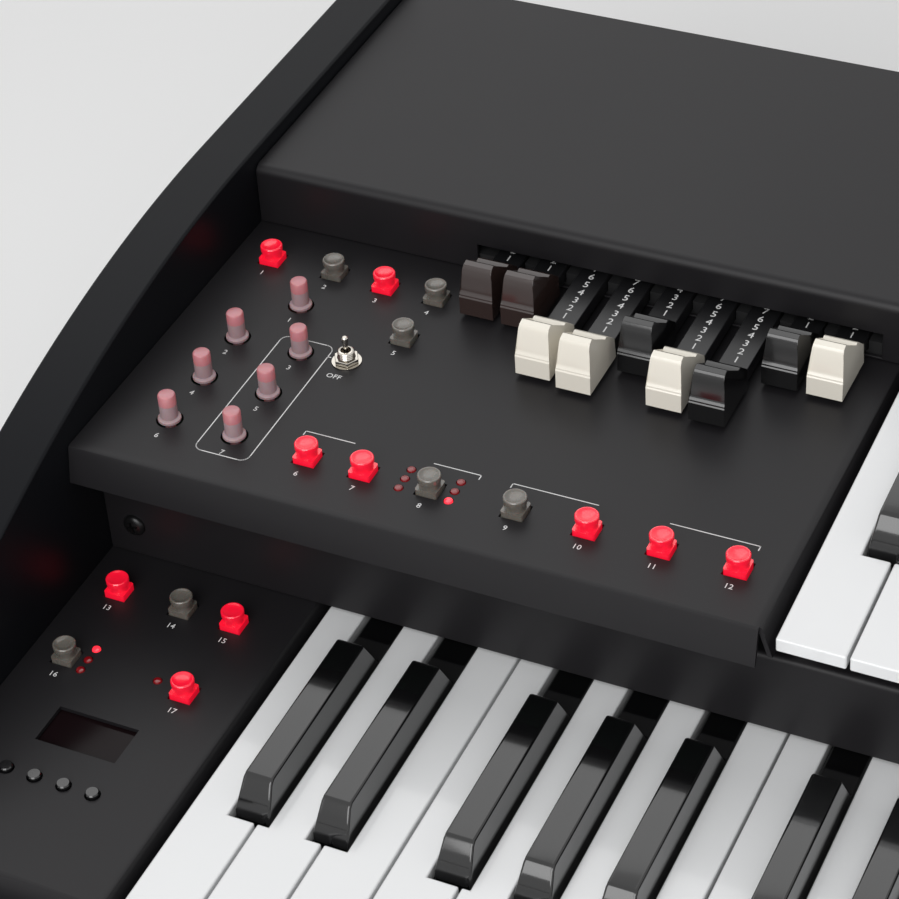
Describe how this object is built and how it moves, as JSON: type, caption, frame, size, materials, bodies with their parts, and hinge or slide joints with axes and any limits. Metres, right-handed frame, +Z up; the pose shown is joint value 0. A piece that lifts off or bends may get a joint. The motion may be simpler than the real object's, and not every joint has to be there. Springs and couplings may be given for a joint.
{
  "type": "spinet organ",
  "caption": "Tabletop organ console with stepped manuals, a row of drawbars, control panels with push buttons and knobs, and arched black cheeks.",
  "frame": {"origin": "middle of the console's outline on the surface it stands on", "axes": "+X towards the highest keys, -Y towards the player, +Z up"},
  "size_m": [0.9718, 0.434, 0.174],
  "materials": {
    "black_panel": "satin powder coat",
    "black_cheek": "satin black lacquer",
    "steel_sheet": "zinc plated",
    "ivory_key": "polished",
    "ebony_key": "polished",
    "brown_drawbar": "polished",
    "ivory_drawbar": "polished",
    "black_drawbar": "polished",
    "lit_cap": "translucent, lit red from inside",
    "clear_cap": "translucent, unlit",
    "milky_knob": "frosted translucent",
    "nickel": "plated",
    "rubber": "matt",
    "circuit_board": "glass fibre laminate",
    "window": "polished, smoked",
    "connector_plastic": "moulded",
    "frame_plastic": "moulded"
  },
  "bodies": {
    "console": {"left_cheek": "black_cheek", "right_cheek": "black_cheek", "base_pan": "steel_sheet", "back_panel": "black_panel", "top_hood": "black_panel", "upper_control_panel": "black_panel", "lower_control_panel": "black_panel", "lower_right_panel": "black_panel", "upper_key_slip": "black_panel", "front_key_slip": "black_panel", "left_foot_runner": "rubber", "right_foot_runner": "rubber", "lower_key_frame": "frame_plastic", "upper_key_frame": "frame_plastic", "drawbar_housing": "frame_plastic", "display_window": "window", "upper_control_board": "circuit_board", "lower_control_board": "circuit_board", "main_board": "circuit_board", "power_inlet": "connector_plastic", "jack_block": "connector_plastic"},
    "lower_naturals": {"lower_naturals": "ivory_key"},
    "lower_sharps": {"lower_sharps": "ebony_key"},
    "upper_naturals": {"upper_naturals": "ivory_key"},
    "upper_sharps": {"upper_sharps": "ebony_key"},
    "drawbar_1": {"drawbar_1": "brown_drawbar"},
    "drawbar_2": {"drawbar_2": "brown_drawbar"},
    "drawbar_3": {"drawbar_3": "ivory_drawbar"},
    "drawbar_4": {"drawbar_4": "ivory_drawbar"},
    "drawbar_5": {"drawbar_5": "black_drawbar"},
    "drawbar_6": {"drawbar_6": "ivory_drawbar"},
    "drawbar_7": {"drawbar_7": "black_drawbar"},
    "drawbar_8": {"drawbar_8": "black_drawbar"},
    "drawbar_9": {"drawbar_9": "ivory_drawbar"},
    "volume_knob": {"volume_knob": "milky_knob"},
    "click_knob": {"click_knob": "milky_knob"},
    "drive_level_knob": {"drive_level_knob": "milky_knob"},
    "percussion_volume_knob": {"percussion_volume_knob": "milky_knob"},
    "drive_gain_knob": {"drive_gain_knob": "milky_knob"},
    "assignable_knob": {"assignable_knob": "milky_knob"},
    "drive_tone_knob": {"drive_tone_knob": "milky_knob"},
    "octave_button_upper": {"octave_button_upper": "lit_cap"},
    "preset_a_button_upper": {"preset_a_button_upper": "clear_cap"},
    "preset_b_button_upper": {"preset_b_button_upper": "lit_cap"},
    "manual_button_upper": {"manual_button_upper": "clear_cap"},
    "manual_button_lower": {"manual_button_lower": "clear_cap"},
    "vibrato_button_upper": {"vibrato_button_upper": "lit_cap"},
    "vibrato_button_lower": {"vibrato_button_lower": "lit_cap"},
    "vibrato_type_button": {"vibrato_type_button": "clear_cap"},
    "percussion_on_button": {"percussion_on_button": "clear_cap"},
    "percussion_soft_button": {"percussion_soft_button": "lit_cap"},
    "percussion_fast_button": {"percussion_fast_button": "lit_cap"},
    "percussion_third_button": {"percussion_third_button": "lit_cap"},
    "octave_button_lower": {"octave_button_lower": "lit_cap"},
    "preset_a_button_lower": {"preset_a_button_lower": "clear_cap"},
    "preset_b_button_lower": {"preset_b_button_lower": "lit_cap"},
    "organ_type_button": {"organ_type_button": "clear_cap"},
    "pedals_button": {"pedals_button": "lit_cap"},
    "toggle_lever": {"toggle_lever": "nickel"},
    "power_rocker": {"power_rocker": "connector_plastic"}
  },
  "joints": [
    {"name": "lower_naturals_press", "type": "hinge", "parent": "console", "child": "lower_naturals", "pos_m": [-0.04185, -0.015, 0.0778], "axis": [1, 0, 0], "range_deg": [0, 3.4], "stiffness_Nm_per_rad": 6, "springref_deg": -11.46},
    {"name": "lower_sharps_press", "type": "hinge", "parent": "console", "child": "lower_sharps", "pos_m": [-0.04185, -0.015, 0.0778], "axis": [1, 0, 0], "range_deg": [0, 3.4], "stiffness_Nm_per_rad": 6, "springref_deg": -11.46},
    {"name": "upper_naturals_press", "type": "hinge", "parent": "console", "child": "upper_naturals", "pos_m": [0.12265, 0.10949, 0.14383], "axis": [1, 0, 0], "range_deg": [0, 3.4], "stiffness_Nm_per_rad": 6, "springref_deg": -11.46},
    {"name": "upper_sharps_press", "type": "hinge", "parent": "console", "child": "upper_sharps", "pos_m": [0.12265, 0.10949, 0.14383], "axis": [1, 0, 0], "range_deg": [0, 3.4], "stiffness_Nm_per_rad": 6, "springref_deg": -11.46},
    {"name": "drawbar_1_slide", "type": "slide", "parent": "console", "child": "drawbar_1", "axis": [0, 1, 0], "range_m": [-0.03408, 0.00432]},
    {"name": "drawbar_2_slide", "type": "slide", "parent": "console", "child": "drawbar_2", "axis": [0, 1, 0], "range_m": [-0.0336, 0.0048]},
    {"name": "drawbar_3_slide", "type": "slide", "parent": "console", "child": "drawbar_3", "axis": [0, 1, 0], "range_m": [-0.01008, 0.02832]},
    {"name": "drawbar_4_slide", "type": "slide", "parent": "console", "child": "drawbar_4", "axis": [0, 1, 0], "range_m": [-0.00768, 0.03072]},
    {"name": "drawbar_5_slide", "type": "slide", "parent": "console", "child": "drawbar_5", "axis": [0, 1, 0], "range_m": [-0.02352, 0.01488]},
    {"name": "drawbar_6_slide", "type": "slide", "parent": "console", "child": "drawbar_6", "axis": [0, 1, 0], "range_m": [-0.0096, 0.0288]},
    {"name": "drawbar_7_slide", "type": "slide", "parent": "console", "child": "drawbar_7", "axis": [0, 1, 0], "range_m": [-0.00768, 0.03072]},
    {"name": "drawbar_8_slide", "type": "slide", "parent": "console", "child": "drawbar_8", "axis": [0, 1, 0], "range_m": [-0.03408, 0.00432]},
    {"name": "drawbar_9_slide", "type": "slide", "parent": "console", "child": "drawbar_9", "axis": [0, 1, 0], "range_m": [-0.03408, 0.00432]},
    {"name": "volume_knob_turn", "type": "hinge", "parent": "console", "child": "volume_knob", "pos_m": [-0.4281, 0.0337, 0.144], "axis": [0, 0, 1], "range_deg": [-150, 150]},
    {"name": "click_knob_turn", "type": "hinge", "parent": "console", "child": "click_knob", "pos_m": [-0.4405, 0.0094, 0.144], "axis": [0, 0, 1], "range_deg": [-150, 150]},
    {"name": "drive_level_knob_turn", "type": "hinge", "parent": "console", "child": "drive_level_knob", "pos_m": [-0.4158, 0.0094, 0.144], "axis": [0, 0, 1], "range_deg": [-150, 150]},
    {"name": "percussion_volume_knob_turn", "type": "hinge", "parent": "console", "child": "percussion_volume_knob", "pos_m": [-0.4405, -0.0147, 0.144], "axis": [0, 0, 1], "range_deg": [-150, 150]},
    {"name": "drive_gain_knob_turn", "type": "hinge", "parent": "console", "child": "drive_gain_knob", "pos_m": [-0.4158, -0.0147, 0.144], "axis": [0, 0, 1], "range_deg": [-150, 150]},
    {"name": "assignable_knob_turn", "type": "hinge", "parent": "console", "child": "assignable_knob", "pos_m": [-0.4405, -0.0391, 0.144], "axis": [0, 0, 1], "range_deg": [-150, 150]},
    {"name": "drive_tone_knob_turn", "type": "hinge", "parent": "console", "child": "drive_tone_knob", "pos_m": [-0.4158, -0.0391, 0.144], "axis": [0, 0, 1], "range_deg": [-150, 150]},
    {"name": "octave_button_upper_press", "type": "slide", "parent": "console", "child": "octave_button_upper", "axis": [0, 0, -1], "range_m": [0, 0.0012], "stiffness_N_per_m": 800, "springref_m": -0.001},
    {"name": "preset_a_button_upper_press", "type": "slide", "parent": "console", "child": "preset_a_button_upper", "axis": [0, 0, -1], "range_m": [0, 0.0012], "stiffness_N_per_m": 800, "springref_m": -0.001},
    {"name": "preset_b_button_upper_press", "type": "slide", "parent": "console", "child": "preset_b_button_upper", "axis": [0, 0, -1], "range_m": [0, 0.0012], "stiffness_N_per_m": 800, "springref_m": -0.001},
    {"name": "manual_button_upper_press", "type": "slide", "parent": "console", "child": "manual_button_upper", "axis": [0, 0, -1], "range_m": [0, 0.0012], "stiffness_N_per_m": 800, "springref_m": -0.001},
    {"name": "manual_button_lower_press", "type": "slide", "parent": "console", "child": "manual_button_lower", "axis": [0, 0, -1], "range_m": [0, 0.0012], "stiffness_N_per_m": 800, "springref_m": -0.001},
    {"name": "vibrato_button_upper_press", "type": "slide", "parent": "console", "child": "vibrato_button_upper", "axis": [0, 0, -1], "range_m": [0, 0.0012], "stiffness_N_per_m": 800, "springref_m": -0.001},
    {"name": "vibrato_button_lower_press", "type": "slide", "parent": "console", "child": "vibrato_button_lower", "axis": [0, 0, -1], "range_m": [0, 0.0012], "stiffness_N_per_m": 800, "springref_m": -0.001},
    {"name": "vibrato_type_button_press", "type": "slide", "parent": "console", "child": "vibrato_type_button", "axis": [0, 0, -1], "range_m": [0, 0.0012], "stiffness_N_per_m": 800, "springref_m": -0.001},
    {"name": "percussion_on_button_press", "type": "slide", "parent": "console", "child": "percussion_on_button", "axis": [0, 0, -1], "range_m": [0, 0.0012], "stiffness_N_per_m": 800, "springref_m": -0.001},
    {"name": "percussion_soft_button_press", "type": "slide", "parent": "console", "child": "percussion_soft_button", "axis": [0, 0, -1], "range_m": [0, 0.0012], "stiffness_N_per_m": 800, "springref_m": -0.001},
    {"name": "percussion_fast_button_press", "type": "slide", "parent": "console", "child": "percussion_fast_button", "axis": [0, 0, -1], "range_m": [0, 0.0012], "stiffness_N_per_m": 800, "springref_m": -0.001},
    {"name": "percussion_third_button_press", "type": "slide", "parent": "console", "child": "percussion_third_button", "axis": [0, 0, -1], "range_m": [0, 0.0012], "stiffness_N_per_m": 800, "springref_m": -0.001},
    {"name": "octave_button_lower_press", "type": "slide", "parent": "console", "child": "octave_button_lower", "axis": [0, 0, -1], "range_m": [0, 0.0012], "stiffness_N_per_m": 800, "springref_m": -0.001},
    {"name": "preset_a_button_lower_press", "type": "slide", "parent": "console", "child": "preset_a_button_lower", "axis": [0, 0, -1], "range_m": [0, 0.0012], "stiffness_N_per_m": 800, "springref_m": -0.001},
    {"name": "preset_b_button_lower_press", "type": "slide", "parent": "console", "child": "preset_b_button_lower", "axis": [0, 0, -1], "range_m": [0, 0.0012], "stiffness_N_per_m": 800, "springref_m": -0.001},
    {"name": "organ_type_button_press", "type": "slide", "parent": "console", "child": "organ_type_button", "axis": [0, 0, -1], "range_m": [0, 0.0012], "stiffness_N_per_m": 800, "springref_m": -0.001},
    {"name": "pedals_button_press", "type": "slide", "parent": "console", "child": "pedals_button", "axis": [0, 0, -1], "range_m": [0, 0.0012], "stiffness_N_per_m": 800, "springref_m": -0.001},
    {"name": "toggle_lever_tip", "type": "hinge", "parent": "console", "child": "toggle_lever", "pos_m": [-0.3986, 0.0105, 0.1465], "axis": [1, 0, 0], "range_deg": [-12, 12]},
    {"name": "power_rocker_tip", "type": "hinge", "parent": "console", "child": "power_rocker", "pos_m": [0.3344, 0.2125, 0.054], "axis": [1, 0, 0], "range_deg": [0, 14]}
  ]
}
